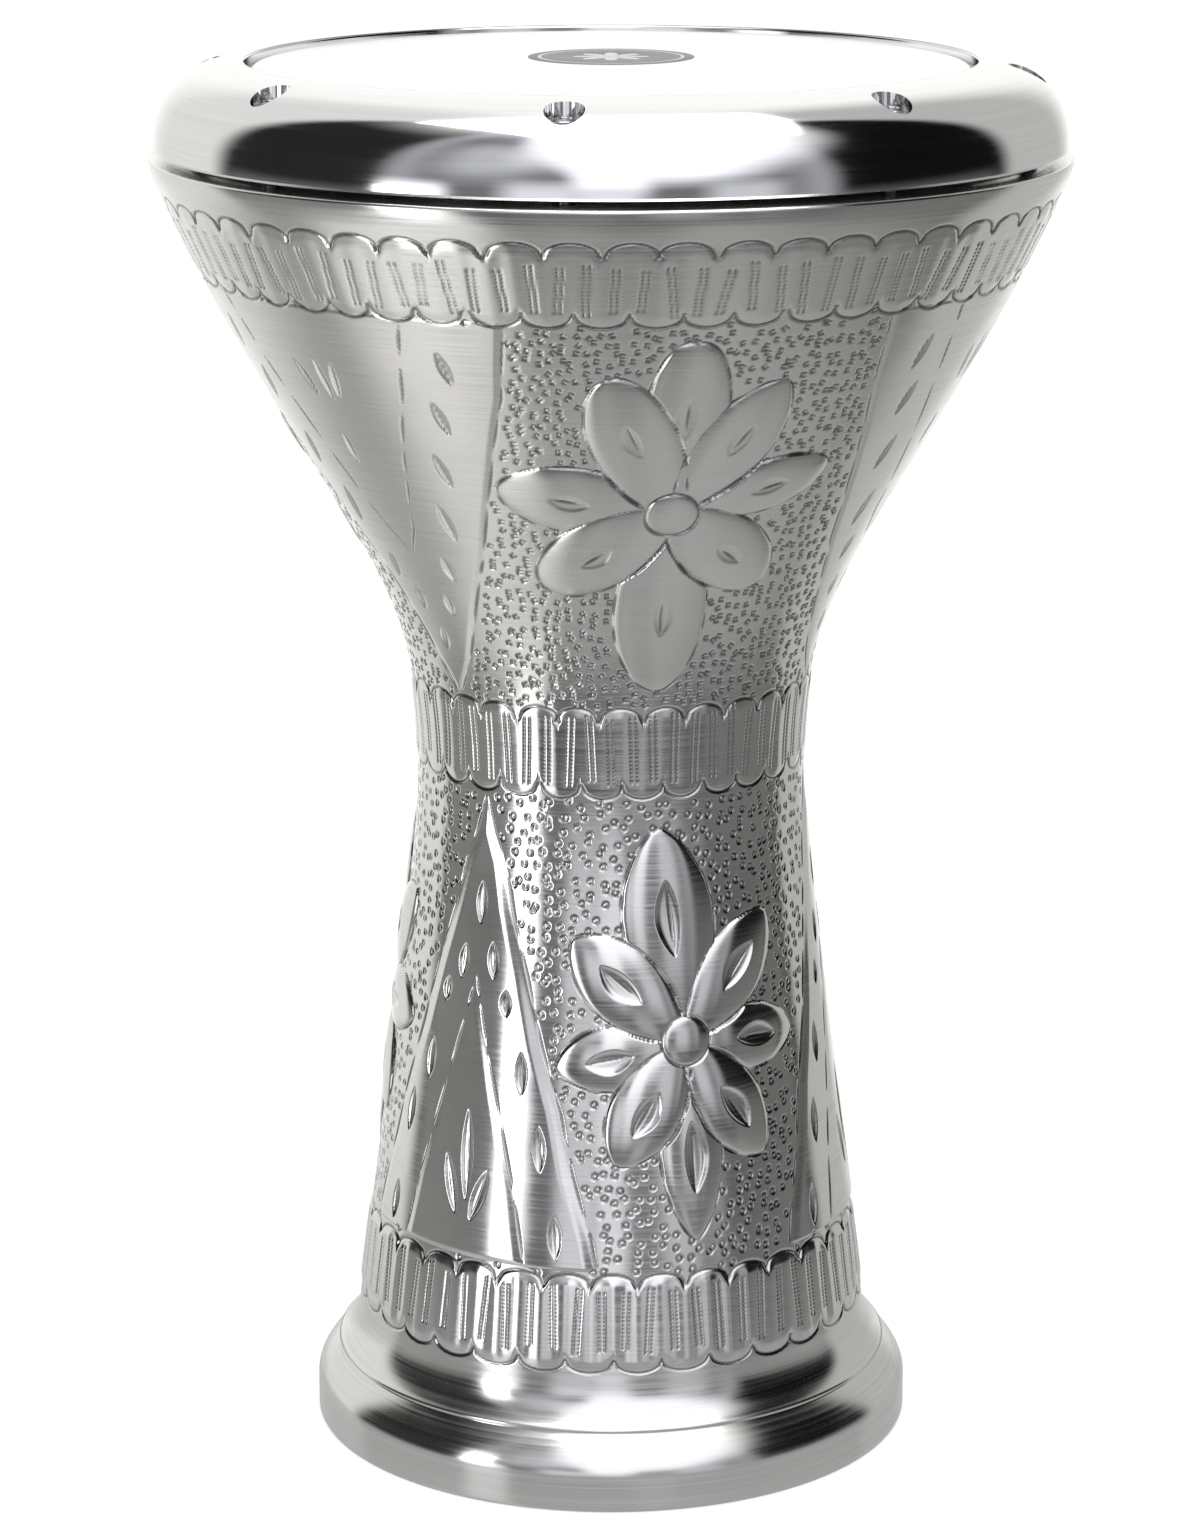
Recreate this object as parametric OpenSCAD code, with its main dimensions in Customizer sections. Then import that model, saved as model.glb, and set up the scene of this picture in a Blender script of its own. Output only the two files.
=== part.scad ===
// Goblet drum (darbuka): a cast aluminium goblet open at the foot, with a synthetic head
// that a clamp ring and eight socket-head screws pull down over the bearing edge.
// Origin: centre of the base, on the surface that the drum stands on. +Z is up.

/* [Foot] */
// Outer radius of the upright band at the base
foot_r = 93.8; // [92:0.1:97]
// Height of the upright band at the base
foot_band_h = 11; // [8:0.5:13]
// Radius of the turned bead between the foot's two curves
bead_r = 87; // [85:0.1:89]
// Height of the turned bead
bead_z = 23.5; // [21:0.5:26]
// Radius of the opening in the base
mouth_r = 88.6; // [86:0.1:89]

/* [Goblet] */
// Outer radius of the trunk where it flares into the foot
trunk_r = 79.7; // [76:0.1:82]
// Height at which the trunk flares into the foot
trunk_z = 40; // [36:0.5:44]
// Outer radius of the waist
waist_r = 60; // [57:0.1:63]
// Height of the waist
waist_z = 210; // [200:1:215]
// Outer radius of the bowl at the middle of its flare
bowl_r = 86.7; // [84:0.1:90]
// Outer radius of the shell's top
rim_r = 138.7; // [137.5:0.1:140]
// Height of the shell's top face, under the tuning ring
rim_z = 400; // [398:0.5:401.5]
// Thickness of the cast wall, measured square to its surface
wall = 3.6; // [3:0.1:5]

/* [Head] */
// Height of the playing surface above the base
head_z = 426.3; // [425.5:0.1:427]
// Thickness of the head's film
film_t = 0.4; // [0.3:0.05:0.5]
// Radius of the rounded bearing edge that the film turns over
edge_round = 2; // [1.5:0.1:2.2]
// Outer radius of the bearing wall
bearing_r = 107.4; // [107:0.1:107.8]
// Height of the playing surface over the underside of the ring's lip
hoop_drop = 8.1; // [7:0.1:9]
// Radius of the plain badge on the film
badge_r = 25.3; // [20:0.1:30]
// How far the badge lies from the centre of the head
badge_offset = 20; // [0:1:40]

/* [Tuning ring] */
// Outer radius of the tuning ring
ring_r = 137.5; // [136.5:0.1:138.5]
// Radius of the ring's opening, over the head
ring_open_r = 109.5; // [109:0.1:110]
// Height of the ring's crown
ring_top_z = 428; // [427.5:0.1:429]
// Height of the ring's lower face
ring_bottom_z = 402.2; // [402:0.1:403]
// How square the ring's section is: 2 is a quarter ellipse
ring_squareness = 2.64; // [2.2:0.02:3]

/* [Screws] */
// Number of tuning screws
screw_count = 8; // [6:1:10]
// Radius of the circle that the screws stand on
screw_circle_r = 124; // [122:0.1:126]
// Direction of the first screw from +X, in degrees
screw_start = -95.9; // [-100:0.1:-80]
// Nominal diameter of the thread
thread_d = 6; // [5:1:6]
// Length of a screw under its head
screw_l = 30; // [24:1:32]
// Width of the hexagon socket across its flats
socket_af = 5; // [4:1:5]
// Diameter of the counterbore that hides a screw's head
counterbore_d = 11.4; // [11.2:0.1:12]
// Height of the counterbore's floor
counterbore_z = 414.5; // [413:0.1:416]

/* [Hidden] */

$fn = 96;

cast_colour = [0.66, 0.66, 0.65];
polished_colour = [0.82, 0.82, 0.83];
film_colour = [0.96, 0.96, 0.95];
badge_colour = [0.55, 0.56, 0.57];
resin_colour = [0.75, 0.72, 0.6];
steel_colour = [0.45, 0.45, 0.47];

// The goblet's outer line, from the foot up: height, radius, and slope of radius over height
STATIONS = [
    [bead_z, bead_r, -1.3],
    [trunk_z, trunk_r, -0.125],
    [150, 65.6, -0.11],
    [waist_z, waist_r, -0.02],
    [240, waist_r + 1.6, 0.12],
    [300, bowl_r, 0.6],
    [rim_z - 12, rim_r - 4.4, 0.44],
    [rim_z, rim_r, 0]
];
line_step = 6;
foot_curve_steps = 8;
bead_drop = 0.8;

// Inside of the foot and rim
mouth_band_h = 10;
rim_edge = 0.6;
gusset_z = rim_z - 26;
throat_r = bearing_r - 2 * edge_round;
throat_z = rim_z - 8;
edge_z = head_z - film_t - 0.1 - edge_round;
film_gap = 0.1;
bearing_fillet = 1.5;
badge_t = 0.15;

// Tuning ring
ring_side_z = ring_bottom_z - 4;
ring_curve_r = ring_open_r - 1.5;
ring_curve_steps = 16;
ring_crown_t = 83;
lip_z = head_z - hoop_drop;
recess_r = 116;
ring_edge = 0.8;

// Head hoop: an aluminium channel that holds the film's edge in resin
hoop_in_r = bearing_r + 1.2;
hoop_out_r = recess_r - 1.2;
hoop_sheet = 1.2;
hoop_h = 10.2;
hoop_inner_h = 5.5;
hoop_z = lip_z - hoop_h;
resin_gap = 0.05;
resin_top_z = hoop_z + 7;
film_edge_r = (hoop_in_r + hoop_out_r) / 2;
skirt_bend_z = lip_z + 0.3;
skirt_top_z = edge_z;

// Screws
screw_head_d = 10;
screw_head_h = 6;
screw_edge = 0.5;
socket_depth = 3;
socket_cone = 1.2;
clearance_d = thread_d + 0.6;
running_gap = 0.05;
tapped_depth = 17.5;
washer_d = 11;
washer_bore_d = thread_d + 0.4;
washer_t = 1.6;
seat_z = counterbore_z + washer_t;

// Radius at height z on a smooth curve between two stations
function between(z, a, b) =
    let (h = b[0] - a[0], t = (z - a[0]) / h)
    (2 * t^3 - 3 * t^2 + 1) * a[1] + (t^3 - 2 * t^2 + t) * h * a[2]
    + (3 * t^2 - 2 * t^3) * b[1] + (t^3 - t^2) * h * b[2];

// Index of the station at or under height z
function station_under(z) =
    max([for (i = [0:len(STATIONS) - 2]) if (z >= STATIONS[i][0] || i == 0) i]);

function outer_r(z) =
    let (i = station_under(z)) between(z, STATIONS[i], STATIONS[i + 1]);

// Inner radius: the wall's thickness is kept square to the outer line
function inner_r(z) =
    let (slope = (outer_r(z + 0.5) - outer_r(z - 0.5))) outer_r(z) - wall * sqrt(1 + slope^2);

// Heights from one level to another in near equal steps, both ends included
function heights(low, high) =
    let (n = max(1, round((high - low) / line_step)))
    [for (i = [0:n]) low + (high - low) * i / n];

// Heights of the outer line, with every station hit exactly
function outer_heights() = [
    for (i = [0:len(STATIONS) - 2])
        let (h = heights(STATIONS[i][0], STATIONS[i + 1][0]))
        for (k = [0:len(h) - 2]) h[k]
];

function reversed(list) = [for (i = [len(list) - 1:-1:0]) list[i]];

function arc(cx, cz, r, from, to, n) =
    [for (i = [0:n]) let (a = from + (to - from) * i / n) [cx + r * cos(a), cz + r * sin(a)]];

// The foot's lower curve, from the top of its band up to just under the bead
function foot_curve() = [
    for (i = [0:foot_curve_steps])
        let (
            z = foot_band_h + (bead_z - bead_drop - foot_band_h) * i / foot_curve_steps,
            a = [foot_band_h, foot_r, 0],
            b = [bead_z - bead_drop, bead_r - bead_drop, -1.1]
        )
        [between(z, a, b), z]
];

module shell_section() {
    outside = concat(
        [[foot_r - rim_edge, 0], [foot_r, rim_edge]],
        foot_curve(),
        [for (z = outer_heights()) [outer_r(z), z]]
    );
    rim = concat(
        [[rim_r, rim_z - rim_edge], [rim_r - rim_edge, rim_z]],
        [[bearing_r + bearing_fillet, rim_z], [bearing_r, rim_z + bearing_fillet]],
        arc(bearing_r - edge_round, edge_z, edge_round, 0, 180, 10),
        [[throat_r, throat_z]]
    );
    inner_foot = [trunk_z, inner_r(trunk_z), -0.125];
    inner_mouth = [mouth_band_h, mouth_r, -0.3];
    inside = concat(
        [for (z = reversed(heights(trunk_z, gusset_z))) [inner_r(z), z]],
        [
            for (z = reversed(heights(mouth_band_h, trunk_z)))
                if (z < trunk_z) [between(z, inner_mouth, inner_foot), z]
        ],
        [[mouth_r, 0]]
    );
    polygon(concat(outside, rim, inside));
}

module at_screws() {
    for (i = [1:screw_count]) at_screw(i) children();
}

module at_screw(i) {
    rotate(screw_start + (i - 1) * 360 / screw_count) translate([screw_circle_r, 0, 0]) children();
}

// One casting: foot, trunk, bowl, the gusseted top with its tapped holes, and the bearing wall
module shell() {
    color(cast_colour) difference() {
        rotate_extrude() shell_section();
        at_screws()
            translate([0, 0, rim_z - tapped_depth])
                cylinder(d = thread_d + 2 * running_gap, h = tapped_depth + 1, $fn = 32);
    }
}

module ring_section() {
    side = ring_r - ring_curve_r;
    rise = ring_top_z - ring_side_z;
    start = asin(((ring_bottom_z + ring_edge - ring_side_z) / rise) ^ (ring_squareness / 2));
    outside = [
        for (i = [0:ring_curve_steps])
            let (a = start + (ring_crown_t - start) * i / ring_curve_steps)
            [
                ring_curve_r + side * cos(a) ^ (2 / ring_squareness),
                ring_side_z + rise * sin(a) ^ (2 / ring_squareness)
            ]
    ];
    inside = [
        [ring_open_r + ring_edge, ring_top_z],
        [ring_open_r, ring_top_z - ring_edge],
        [ring_open_r, lip_z],
        [recess_r, lip_z],
        [recess_r, ring_bottom_z + ring_edge],
        [recess_r + ring_edge, ring_bottom_z],
        [outside[0][0] - ring_edge, ring_bottom_z]
    ];
    polygon(concat(outside, inside));
}

// Clamp ring with a counterbored hole for each screw; its lip presses on the head's hoop
module tuning_ring() {
    color(polished_colour) difference() {
        rotate_extrude() ring_section();
        at_screws() {
            translate([0, 0, counterbore_z]) cylinder(d = counterbore_d, h = 30, $fn = 48);
            translate([0, 0, ring_bottom_z - 1]) cylinder(d = clearance_d, h = 30, $fn = 32);
        }
    }
}

// Playing surface of the head, down to where the film leaves the rounded bearing edge
module head_film() {
    turn_r = edge_round + film_gap;
    centre_r = bearing_r - edge_round;
    color(film_colour) rotate_extrude() polygon(concat(
        [[0, head_z], [0, head_z - film_t]],
        arc(centre_r, edge_z, turn_r, 90, 0, 8),
        arc(centre_r, edge_z, turn_r + film_t, 0, 90, 8)
    ));
}

// The same film between the bearing edge and the hoop, where it stretches as the ring moves
module head_skirt() {
    in_r = bearing_r + film_gap;
    out_r = in_r + film_t;
    low = resin_top_z + resin_gap;
    color(film_colour) rotate_extrude() polygon([
        [in_r, skirt_top_z],
        [in_r, skirt_bend_z],
        [film_edge_r - film_t, low],
        [film_edge_r, low],
        [out_r, skirt_bend_z + 0.2],
        [out_r, skirt_top_z]
    ]);
}

module head_hoop() {
    color(polished_colour) rotate_extrude() polygon([
        [hoop_in_r, hoop_z],
        [hoop_out_r, hoop_z],
        [hoop_out_r, lip_z],
        [hoop_out_r - hoop_sheet, lip_z],
        [hoop_out_r - hoop_sheet, hoop_z + hoop_sheet],
        [hoop_in_r + hoop_sheet, hoop_z + hoop_sheet],
        [hoop_in_r + hoop_sheet, hoop_z + hoop_inner_h],
        [hoop_in_r, hoop_z + hoop_inner_h]
    ]);
}

// Resin that locks the film's edge in the hoop
module hoop_resin() {
    in_r = hoop_in_r + hoop_sheet + resin_gap;
    out_r = hoop_out_r - hoop_sheet - resin_gap;
    low = hoop_z + hoop_sheet + resin_gap;
    color(resin_colour) rotate_extrude() polygon([
        [in_r, low],
        [out_r, low],
        [out_r, resin_top_z],
        [in_r + 1, resin_top_z],
        [in_r, hoop_z + hoop_inner_h - resin_gap]
    ]);
}

module head_badge() {
    color(badge_colour)
        translate([0, badge_offset, head_z]) cylinder(r = badge_r, h = badge_t, $fn = 64);
}

// Socket-head cap screw, standing on its washer
module tuning_bolt() {
    head_r = screw_head_d / 2;
    shank_r = thread_d / 2;
    tip = -screw_l;
    color(steel_colour) difference() {
        rotate_extrude($fn = 48) polygon([
            [0, tip],
            [shank_r - 2 * screw_edge, tip],
            [shank_r, tip + 2 * screw_edge],
            [shank_r, 0],
            [head_r, 0],
            [head_r, screw_head_h - screw_edge],
            [head_r - screw_edge, screw_head_h],
            [0, screw_head_h]
        ]);
        translate([0, 0, screw_head_h - socket_depth])
            cylinder(d = socket_af / cos(30), h = socket_depth + 1, $fn = 6);
        translate([0, 0, screw_head_h - socket_depth - socket_cone])
            cylinder(r1 = 0.2, r2 = socket_af / 2 - 0.2, h = socket_cone + 0.1, $fn = 32);
    }
}

module washer() {
    color(steel_colour) difference() {
        cylinder(d = washer_d, h = washer_t, $fn = 48);
        translate([0, 0, -1]) cylinder(d = washer_bore_d, h = washer_t + 2, $fn = 32);
    }
}

shell();
tuning_ring();
head_film();
head_skirt();
head_hoop();
hoop_resin();
head_badge();
for (i = [1:screw_count])
    at_screw(i) translate([0, 0, seat_z]) tuning_bolt();
for (i = [1:screw_count])
    at_screw(i) translate([0, 0, counterbore_z]) washer();
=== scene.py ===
"""Looks of a goblet drum: a chased aluminium shell, a polished clamp ring and a white film head.

Shapes are worked out in millimetres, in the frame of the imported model, and become metres when a
mesh is made. Directions round the drum are in degrees from the front (-Y), growing towards +X.
"""
import math

import bpy
import numpy as np
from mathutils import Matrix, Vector


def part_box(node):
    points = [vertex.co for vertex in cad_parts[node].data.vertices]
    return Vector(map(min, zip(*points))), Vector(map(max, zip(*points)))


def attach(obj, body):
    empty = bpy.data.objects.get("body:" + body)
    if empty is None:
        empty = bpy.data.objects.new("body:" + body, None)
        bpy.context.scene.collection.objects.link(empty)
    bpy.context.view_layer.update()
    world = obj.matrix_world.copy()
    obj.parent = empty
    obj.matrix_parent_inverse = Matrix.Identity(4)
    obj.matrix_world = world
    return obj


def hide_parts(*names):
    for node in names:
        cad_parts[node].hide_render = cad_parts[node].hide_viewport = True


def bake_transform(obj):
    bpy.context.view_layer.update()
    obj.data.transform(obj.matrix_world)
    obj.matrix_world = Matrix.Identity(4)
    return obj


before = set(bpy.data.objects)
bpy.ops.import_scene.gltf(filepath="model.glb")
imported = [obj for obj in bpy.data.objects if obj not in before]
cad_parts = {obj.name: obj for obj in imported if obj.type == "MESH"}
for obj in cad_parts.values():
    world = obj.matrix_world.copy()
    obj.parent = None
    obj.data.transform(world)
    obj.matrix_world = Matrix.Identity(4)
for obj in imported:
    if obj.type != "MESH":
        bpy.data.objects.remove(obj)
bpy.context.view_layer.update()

MM = 0.001
rng = np.random.default_rng(7)


def cad_box_mm(node):
    """Lowest and highest corner of a CAD node, in millimetres."""
    low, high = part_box(node)
    return np.array(low) / MM, np.array(high) / MM


# ---------------------------------------------------------------- sizes taken from the frame

RING_LOW, RING_HIGH = cad_box_mm("tuning_ring")
SKIRT_LOW, SKIRT_HIGH = cad_box_mm("head_skirt")
BADGE_LOW, BADGE_HIGH = cad_box_mm("head_badge")
BADGE_CENTRE = (BADGE_LOW + BADGE_HIGH) / 2
BADGE_R = (BADGE_HIGH[0] - BADGE_LOW[0]) / 2
SCREW_NAMES = sorted(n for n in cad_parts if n.startswith("tuning_bolt_"))
WASHER_NAMES = sorted(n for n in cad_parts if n.startswith("washer_"))

RIM_R = cad_box_mm("shell")[1][0]
HEAD_Z = cad_box_mm("head_film")[1][2]
RING_R = RING_HIGH[0]
RING_TOP_Z = RING_HIGH[2]
RING_BOTTOM_Z = RING_LOW[2]

# The casting, as the design has it
RIM_Z = 400.0
FOOT_R = 93.8
FOOT_BAND_H = 11.0
WALL = 3.6
MOUTH_R = 88.6
MOUTH_BAND_H = 10.0
BEARING_R = 107.4
EDGE_ROUND = 2.0
FILM_GAP = 0.1
THROAT_R = BEARING_R - 2 * EDGE_ROUND
THROAT_Z = RIM_Z - 8
GUSSET_Z = RIM_Z - 26
FILM_T = 0.4
EDGE_Z = HEAD_Z - FILM_T - FILM_GAP - EDGE_ROUND
# Outer line of the goblet: height, radius, and slope of radius over height
STATIONS = np.array([
    (23.5, 87.0, -1.3),
    (40.0, 79.7, -0.125),
    (150.0, 65.6, -0.11),
    (210.0, 60.0, -0.02),
    (240.0, 61.6, 0.12),
    (300.0, 86.7, 0.6),
    (RIM_Z - 12, RIM_R - 4.4, 0.44),
    (RIM_Z, RIM_R, 0.0),
])
BEAD_Z = STATIONS[0, 0]
BEAD_R = STATIONS[0, 1]
TRUNK_Z = STATIONS[1, 0]
HOLE_D = 6.1
HOLE_DEPTH = 17.5

# Clamp ring
LIP_Z = HEAD_Z - 8.1
RING_OPEN_R = 109.5
RECESS_R = 116.0
RING_CURVE_R = RING_OPEN_R - 1.5
RING_SIDE_Z = RING_BOTTOM_Z - 4
RING_SQUARENESS = 2.64
COUNTERBORE_D = 11.4
COUNTERBORE_Z = 414.5
CLEARANCE_D = 6.6

# A turned solid starts this far from its axis, and a drill a little nearer
TURNED_R = 0.05
DRILL_R = 0.02

# Mesh fineness of the chased part
COLUMNS = 1440
ROW_STEP = 0.4


# ---------------------------------------------------------------- outlines

def hermite(z, a, b):
    """Radius at height z between two stations."""
    height = b[0] - a[0]
    t = (z - a[0]) / height
    return (
        (2 * t**3 - 3 * t**2 + 1) * a[1]
        + (t**3 - 2 * t**2 + t) * height * a[2]
        + (3 * t**2 - 2 * t**3) * b[1]
        + (t**3 - t**2) * height * b[2]
    )


def outer_radius(z):
    """Radius of the goblet's outside at height z, from the bead up."""
    z = np.asarray(z, float)
    index = np.clip(np.searchsorted(STATIONS[:, 0], z, side="right") - 1, 0, len(STATIONS) - 2)
    result = np.zeros_like(z)
    for i in range(len(STATIONS) - 1):
        here = index == i
        result[here] = hermite(z[here], STATIONS[i], STATIONS[i + 1])
    return result


def inner_radius(z):
    """Radius of the inside, a wall's thickness square to the outside."""
    slope = outer_radius(z + 0.5) - outer_radius(z - 0.5)
    return outer_radius(z) - WALL * np.sqrt(1 + slope**2)


def foot_line():
    """Outside of the foot, from the floor up to just under the bead."""
    low = (FOOT_BAND_H, FOOT_R, 0.0)
    high = (BEAD_Z - 0.8, BEAD_R - 0.8, -1.1)
    rise = np.linspace(FOOT_BAND_H, BEAD_Z - 0.8, 40)
    points = [(FOOT_R - 0.9, 0.0), (FOOT_R - 0.35, 0.25), (FOOT_R, 0.9)]
    points += [(FOOT_R, z) for z in np.linspace(1.5, FOOT_BAND_H - 0.4, 12)]
    return points + [(hermite(z, low, high), z) for z in rise]


def run_along(line):
    """Distance along a line to each of its points."""
    return np.concatenate([[0], np.cumsum(np.linalg.norm(np.diff(line, axis=0), axis=1))])


def resampled(line, step):
    """The same line with points about step apart."""
    along = run_along(line)
    at = np.linspace(0, along[-1], int(round(along[-1] / step)) + 1)
    return np.stack([np.interp(at, along, line[:, k]) for k in (0, 1)], axis=1)


def arc(centre, radius, start, end, count):
    """Points on an arc; angles in degrees."""
    angles = np.radians(np.linspace(start, end, count))
    return [(centre[0] + radius * math.cos(a), centre[1] + radius * math.sin(a)) for a in angles]


# ---------------------------------------------------------------- the chased surface

ORNAMENT_LOW_Z = TRUNK_Z - 4
ORNAMENT_HIGH_Z = RIM_Z - 4


def surface_rows():
    """Rows of the chased part: heights, radii, distance along the line, and normals."""
    fine = np.linspace(ORNAMENT_LOW_Z, ORNAMENT_HIGH_Z, 6000)
    line = resampled(np.stack([outer_radius(fine), fine], axis=1), ROW_STEP)
    radius, height = line[:, 0], line[:, 1]
    slope = np.gradient(radius, height)
    size = np.sqrt(1 + slope**2)
    return height, radius, run_along(line), 1 / size, -slope / size


ROW_Z, ROW_R, ROW_S, ROW_NR, ROW_NZ = surface_rows()
COLUMN_DEG = (np.arange(COLUMNS) * 360.0 / COLUMNS) - 180.0
DEG_PER_COLUMN = 360.0 / COLUMNS


def along_at(z):
    """Distance along the outer line at height z."""
    return np.interp(z, ROW_Z, ROW_S)


def radius_at(z):
    return np.interp(z, ROW_Z, ROW_R)


def height_at(s):
    return np.interp(s, ROW_S, ROW_Z)


def smooth(x):
    """0 to 1 with a soft start and end."""
    x = np.clip(x, 0.0, 1.0)
    return x * x * (3 - 2 * x)


class Chasing:
    """Height of the metal over the plain goblet, in millimetres, on the grid of rows and columns."""

    def __init__(self):
        self.relief = np.zeros((len(ROW_Z), COLUMNS))
        self.cuts = np.zeros_like(self.relief)

    def window(self, theta, z, reach):
        """Rows, columns and local millimetre coordinates of the grid round one place."""
        s0 = along_at(z)
        r0 = float(radius_at(z))
        rows = slice(*np.searchsorted(ROW_S, (s0 - reach, s0 + reach)))
        span = math.degrees(reach / r0) * 1.25
        first = int(math.floor((theta - span + 180.0) / DEG_PER_COLUMN))
        last = int(math.ceil((theta + span + 180.0) / DEG_PER_COLUMN))
        columns = np.arange(first, last + 1)
        turn = np.radians(columns * DEG_PER_COLUMN - 180.0 - theta)
        u = ROW_R[rows][:, None] * turn[None, :]
        v = (ROW_S[rows] - s0)[:, None] + np.zeros_like(u)
        return rows, columns % COLUMNS, u, v

    def cut(self, rows, columns, value):
        """Keeps the deeper of the cut that is there and value."""
        self.cuts[rows, columns] = np.minimum(self.cuts[rows, columns], value)

    def raise_to(self, rows, columns, value, mask):
        """Value takes the place of what is there where mask is 1."""
        here = self.relief[rows, columns]
        self.relief[rows, columns] = here * (1 - mask) + value * mask


def local_point(theta, z, origin):
    """Millimetre coordinates of one place seen from another."""
    return np.array([
        radius_at(z) * math.radians(theta - origin[0]),
        along_at(z) - along_at(origin[1]),
    ])


def place_of(point, origin):
    """The inverse of local_point."""
    z = float(height_at(along_at(origin[1]) + point[1]))
    return origin[0] + math.degrees(point[0] / float(radius_at(z))), z


def stroke(chasing, points, half_width, depth, taper=True):
    """A groove along a short line of places (theta, z)."""
    middle = points[len(points) // 2]
    path = np.array([local_point(t, z, middle) for t, z in points])
    reach = np.abs(path).max() + 2.5 * half_width
    rows, columns, u, v = chasing.window(middle[0], middle[1], reach)
    lengths = np.linalg.norm(np.diff(path, axis=0), axis=1)
    total = max(lengths.sum(), 1e-6)
    best = np.full(u.shape, 1e9)
    share = np.zeros(u.shape)
    done = 0.0
    for a, b, length in zip(path[:-1], path[1:], lengths):
        if length < 1e-6:
            continue
        d = (b - a) / length
        t = np.clip((u - a[0]) * d[0] + (v - a[1]) * d[1], 0, length)
        distance = np.hypot(u - a[0] - t * d[0], v - a[1] - t * d[1])
        nearer = distance < best
        best = np.where(nearer, distance, best)
        share = np.where(nearer, (done + t) / total, share)
        done += length
    width = half_width
    if taper:
        width = half_width * np.sqrt(np.clip(np.sin(math.pi * np.clip(share, 0.02, 0.98)), 0, 1))
    profile = -depth * (width / half_width) * smooth(1 - best / np.maximum(width, 1e-3))
    chasing.cut(rows, columns, profile)


def hollow(chasing, start, end, width, depth, bend=0.0):
    """A lens-shaped dent between two places, with a sharp line down its middle."""
    middle = ((start[0] + end[0]) / 2, (start[1] + end[1]) / 2)
    a = local_point(*start, middle)
    b = local_point(*end, middle)
    length = np.linalg.norm(b - a)
    d = (b - a) / length
    rows, columns, u, v = chasing.window(*middle, length / 2 + width)
    t = ((u - a[0]) * d[0] + (v - a[1]) * d[1]) / length
    n = -(u - a[0]) * d[1] + (v - a[1]) * d[0]
    inside = np.clip(t, 0, 1)
    n = n - bend * np.sin(math.pi * inside)
    half = width / 2 * np.sin(math.pi * inside) ** 0.75
    m = np.clip(1 - (n / np.maximum(half, 1e-3)) ** 2, 0, 1) * (t > 0) * (t < 1)
    chasing.relief[rows, columns] -= depth * smooth(m**0.7) * np.sin(math.pi * inside) ** 0.5


def leaf(chasing, start, end, width, depth):
    """A lens-shaped dent with a fine line engraved down it."""
    hollow(chasing, start, end, width, depth)
    stroke(chasing, polyline([start, end]), 0.45, 0.3)


DASH_GAP = 1.3


def dashes(chasing, places, half_width, depth, dash=(6.0, 12.0), skip=None):
    """A dashed groove along places (theta, z), left out where skip(theta, z) is true."""
    steps = [np.linalg.norm(local_point(*b, a)) for a, b in zip(places[:-1], places[1:])]
    run, used, target = [], 0.0, rng.uniform(*dash)
    for place, step in zip(places, [0.0] + steps):
        used += step
        hidden = skip is not None and skip(*place)
        if hidden or used > target + DASH_GAP:
            if len(run) > 1:
                stroke(chasing, run, half_width, depth)
            run, used, target = [], 0.0, rng.uniform(*dash)
        if not hidden and used <= target:
            run.append(place)
    if len(run) > 1:
        stroke(chasing, run, half_width, depth)


def polyline(points, step=1.6):
    """Places about step apart on the straight lines between the points."""
    places = []
    for a, b in zip(points[:-1], points[1:]):
        count = max(2, int(np.linalg.norm(local_point(*b, a)) / step) + 1)
        for share in np.linspace(0, 1, count)[:-1]:
            places.append((a[0] + (b[0] - a[0]) * share, a[1] + (b[1] - a[1]) * share))
    return places + [points[-1]]


# A petal is widest at this share of its length
FULLEST = 0.56


class Petal:
    """One petal: from the flower's centre to its tip, with a width and how blunt its ends are."""

    def __init__(self, centre, tip, width, blunt):
        self.centre = centre
        axis = local_point(*tip, centre)
        self.length = np.linalg.norm(axis)
        self.axis = axis / self.length
        self.width = width
        self.blunt = blunt

    def half_width(self, t):
        swell = np.clip(t, 0, 1) ** (math.log(0.5) / math.log(FULLEST))
        return self.width / 2 * np.sin(math.pi * swell) ** self.blunt

    def coordinates(self, u, v):
        """Share of the length along the petal, and distance from its middle line."""
        t = (u * self.axis[0] + v * self.axis[1]) / self.length
        return t, -u * self.axis[1] + v * self.axis[0]

    def holds(self, theta, z, margin):
        u, v = local_point(theta, z, self.centre)
        t, n = self.coordinates(u, v)
        return 0 < t < 1 and abs(n) < self.half_width(t) + margin

    def place(self, t, side):
        """Place on the outline (side 1 or -1) or on the middle line (side 0)."""
        n = side * float(self.half_width(t))
        point = self.axis * t * self.length + np.array([-self.axis[1], self.axis[0]]) * n
        return place_of(point, self.centre)

    def outline(self):
        """Places up one side, and down the other; closer together at the ends."""
        share = (1 - np.cos(np.linspace(0, math.pi, int(self.length * 1.3 / 1.4)))) / 2
        return [self.place(t, 1) for t in share], [self.place(t, -1) for t in share[::-1]]

    def puff(self, chasing, height):
        """Raises the petal as a cushion."""
        rows, columns, u, v = chasing.window(*self.centre, self.length * 1.08)
        t, n = self.coordinates(u, v)
        half = self.half_width(t)
        reach = np.sqrt(np.clip(half**2 - n**2, 0, None) * (t > 0) * (t < 1))
        chasing.raise_to(rows, columns, height * reach / (self.width / 2), smooth(reach / 1.2))


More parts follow.
